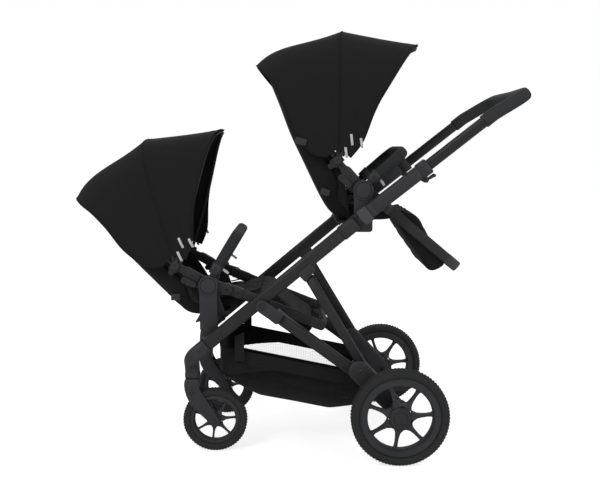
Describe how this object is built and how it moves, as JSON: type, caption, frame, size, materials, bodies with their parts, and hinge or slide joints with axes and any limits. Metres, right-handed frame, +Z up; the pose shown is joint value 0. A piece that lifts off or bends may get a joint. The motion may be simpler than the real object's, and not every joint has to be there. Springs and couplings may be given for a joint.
{
  "type": "tandem double stroller",
  "caption": "Folding tandem stroller: an upper and a lower reclining seat with canopies on a slanted frame, spoked wheels, a telescoping push handle and a net-sided basket.",
  "frame": {"origin": "on the floor, at the centre of the bounding box in plan", "axes": "+Z up, -X the way the stroller travels (the handle is at +X), +Y across it towards its right side"},
  "size_m": [1.33, 0.595, 1.2344],
  "materials": {
    "tyre_rubber": "dull dark grey foam-filled rubber",
    "rim_plastic": "satin charcoal moulded plastic",
    "frame_tube": "matt black powder coat on aluminium",
    "bracket_plastic": "fine-grained charcoal plastic",
    "cover_plastic": "satin mid-grey plastic",
    "grip_foam": "dark grey leatherette over foam",
    "canopy_fabric": "black woven fabric",
    "seat_fabric": "black padded woven fabric",
    "basket_fabric": "black fabric with a bound edge",
    "basket_net": "black open net",
    "steel": "plain steel axle"
  },
  "bodies": {
    "rear_frame": {"rear_leg_l": "frame_tube", "rear_leg_r": "frame_tube", "lower_strut_l": "frame_tube", "lower_strut_r": "frame_tube", "axle_housing_l": "bracket_plastic", "axle_housing_r": "bracket_plastic", "rear_axle": "steel"},
    "brake": {"brake_pedal": "bracket_plastic"},
    "rear_wheel_l": {"rear_rim_l": "rim_plastic", "rear_tyre_l": "tyre_rubber"},
    "rear_wheel_r": {"rear_rim_r": "rim_plastic", "rear_tyre_r": "tyre_rubber"},
    "front_frame": {"main_tube_l": "frame_tube", "main_tube_r": "frame_tube", "front_yoke": "bracket_plastic", "fold_lug_l": "bracket_plastic", "fold_lug_r": "bracket_plastic", "upper_bracket_l": "bracket_plastic", "upper_bracket_r": "bracket_plastic", "lower_bracket_l": "bracket_plastic", "lower_bracket_r": "bracket_plastic", "basket_rim": "basket_fabric", "basket_tub": "basket_fabric", "basket_net_l": "basket_net", "basket_net_r": "basket_net"},
    "caster_l": {"caster_fork_l": "bracket_plastic"},
    "caster_r": {"caster_fork_r": "bracket_plastic"},
    "front_wheel_l": {"front_rim_l": "rim_plastic", "front_tyre_l": "tyre_rubber"},
    "front_wheel_r": {"front_rim_r": "rim_plastic", "front_tyre_r": "tyre_rubber"},
    "handle_carrier": {"upper_housing_l": "bracket_plastic", "upper_housing_r": "bracket_plastic", "joint_cover_l": "cover_plastic", "joint_cover_r": "cover_plastic"},
    "trigger_l": {"telescope_trigger_l": "bracket_plastic"},
    "trigger_r": {"telescope_trigger_r": "bracket_plastic"},
    "handle": {"push_handle": "frame_tube", "handle_grip": "grip_foam"},
    "upper_seat": {"upper_seat_frame": "bracket_plastic", "upper_seat_pad": "seat_fabric", "upper_canopy_rear": "canopy_fabric", "upper_canopy_front": "canopy_fabric"},
    "upper_lever": {"upper_recline_lever": "bracket_plastic"},
    "upper_legrest": {"upper_legrest_frame": "frame_tube", "upper_legrest_pad": "seat_fabric"},
    "upper_bumper": {"upper_bumper_bar": "grip_foam"},
    "upper_bow_mid": {"upper_canopy_bow_mid": "frame_tube"},
    "upper_bow_front": {"upper_canopy_bow_front": "frame_tube"},
    "lower_seat": {"lower_seat_frame": "bracket_plastic", "lower_seat_pad": "seat_fabric", "lower_canopy_rear": "canopy_fabric", "lower_canopy_front": "canopy_fabric"},
    "lower_lever": {"lower_recline_lever": "bracket_plastic"},
    "lower_legrest": {"lower_legrest_frame": "frame_tube", "lower_legrest_pad": "seat_fabric"},
    "lower_bumper": {"lower_bumper_bar": "grip_foam"},
    "lower_bow_mid": {"lower_canopy_bow_mid": "frame_tube"},
    "lower_bow_front": {"lower_canopy_bow_front": "frame_tube"}
  },
  "joints": [
    {"name": "chassis_fold", "type": "hinge", "parent": "rear_frame", "child": "front_frame", "pos_m": [-0.09666, 0, 0.44808], "axis": [0, -1, 0], "range_deg": [0, 60]},
    {"name": "handle_fold", "type": "hinge", "parent": "front_frame", "child": "handle_carrier", "pos_m": [0.19365, 0, 0.70688], "axis": [0, -1, 0], "range_deg": [0, 110]},
    {"name": "handle_telescope", "type": "slide", "parent": "handle_carrier", "child": "handle", "axis": [0.7848, 0, 0.6198], "range_m": [-0.1, 0.05]},
    {"name": "rear_wheel_spin_l", "type": "hinge", "parent": "rear_frame", "child": "rear_wheel_l", "pos_m": [0.2945, -0.275, 0.14], "axis": [0, 1, 0], "continuous": true},
    {"name": "rear_wheel_spin_r", "type": "hinge", "parent": "rear_frame", "child": "rear_wheel_r", "pos_m": [0.2945, 0.275, 0.14], "axis": [0, 1, 0], "continuous": true},
    {"name": "caster_swivel_l", "type": "hinge", "parent": "front_frame", "child": "caster_l", "pos_m": [-0.3055, -0.165, 0.2225], "axis": [0, 0, 1], "continuous": true},
    {"name": "caster_swivel_r", "type": "hinge", "parent": "front_frame", "child": "caster_r", "pos_m": [-0.3055, 0.165, 0.2225], "axis": [0, 0, 1], "continuous": true},
    {"name": "front_wheel_spin_l", "type": "hinge", "parent": "caster_l", "child": "front_wheel_l", "pos_m": [-0.2401, -0.165, 0.095], "axis": [0, 1, 0], "continuous": true},
    {"name": "front_wheel_spin_r", "type": "hinge", "parent": "caster_r", "child": "front_wheel_r", "pos_m": [-0.2401, 0.165, 0.095], "axis": [0, 1, 0], "continuous": true},
    {"name": "brake_press", "type": "hinge", "parent": "rear_frame", "child": "brake", "pos_m": [0.2945, 0, 0.14], "axis": [0, 1, 0], "range_deg": [0, 22]},
    {"name": "telescope_trigger_press_l", "type": "slide", "parent": "handle_carrier", "child": "trigger_l", "axis": [-0.6198, 0, 0.7848], "range_m": [0, 0.003], "stiffness_N_per_m": 400, "springref_m": -0.002},
    {"name": "telescope_trigger_press_r", "type": "slide", "parent": "handle_carrier", "child": "trigger_r", "axis": [-0.6198, 0, 0.7848], "range_m": [0, 0.003], "stiffness_N_per_m": 400, "springref_m": -0.002},
    {"name": "upper_recline", "type": "hinge", "parent": "front_frame", "child": "upper_seat", "pos_m": [0.19147, 0, 0.77496], "axis": [0, -1, 0], "range_deg": [-8, 12]},
    {"name": "upper_recline_lever_press", "type": "hinge", "parent": "upper_seat", "child": "upper_lever", "pos_m": [0.15147, -0.172, 0.78896], "axis": [0, 1, 0], "range_deg": [0, 10], "stiffness_Nm_per_rad": 0.3, "springref_deg": -9.74},
    {"name": "upper_legrest_tilt", "type": "hinge", "parent": "upper_seat", "child": "upper_legrest", "pos_m": [0.23627, 0, 0.74476], "axis": [0, -1, 0], "range_deg": [-30, 16]},
    {"name": "upper_bumper_release", "type": "slide", "parent": "upper_seat", "child": "upper_bumper", "axis": [0.6691, 0, 0.7431], "range_m": [0, 0.04]},
    {"name": "upper_canopy_mid", "type": "hinge", "parent": "upper_seat", "child": "upper_bow_mid", "pos_m": [0.11797, 0, 0.85946], "axis": [0, -1, 0], "range_deg": [0, 30], "deforming": ["upper_canopy_rear", "upper_canopy_front"]},
    {"name": "upper_canopy_front_bow", "type": "hinge", "parent": "upper_bow_mid", "child": "upper_bow_front", "pos_m": [0.11797, 0, 0.85946], "axis": [0, -1, 0], "range_deg": [0, 30]},
    {"name": "lower_recline", "type": "hinge", "parent": "front_frame", "child": "lower_seat", "pos_m": [-0.25354, 0, 0.49999], "axis": [0, -1, 0], "range_deg": [-8, 12]},
    {"name": "lower_recline_lever_press", "type": "hinge", "parent": "lower_seat", "child": "lower_lever", "pos_m": [-0.2959, -0.172, 0.50094], "axis": [0, 1, 0], "range_deg": [0, 10], "stiffness_Nm_per_rad": 0.3, "springref_deg": -9.74},
    {"name": "lower_legrest_tilt", "type": "hinge", "parent": "lower_seat", "child": "lower_legrest", "pos_m": [-0.2016, 0, 0.48511], "axis": [0, -1, 0], "range_deg": [-12, 16]},
    {"name": "lower_bumper_release", "type": "slide", "parent": "lower_seat", "child": "lower_bumper", "axis": [0.4067, 0, 0.9135], "range_m": [0, 0.04]},
    {"name": "lower_canopy_mid", "type": "hinge", "parent": "lower_seat", "child": "lower_bow_mid", "pos_m": [-0.34955, 0, 0.55764], "axis": [0, -1, 0], "range_deg": [0, 30], "deforming": ["lower_canopy_rear", "lower_canopy_front"]},
    {"name": "lower_canopy_front_bow", "type": "hinge", "parent": "lower_bow_mid", "child": "lower_bow_front", "pos_m": [-0.34955, 0, 0.55764], "axis": [0, -1, 0], "range_deg": [0, 30]}
  ],
  "couplings": [
    {"joint": "handle_fold", "follows": "chassis_fold", "ratio": 1.8333},
    {"joint": "upper_canopy_front_bow", "follows": "upper_canopy_mid", "ratio": 1},
    {"joint": "lower_canopy_front_bow", "follows": "lower_canopy_mid", "ratio": 1},
    {"joint": "telescope_trigger_press_r", "follows": "telescope_trigger_press_l", "ratio": 1}
  ]
}
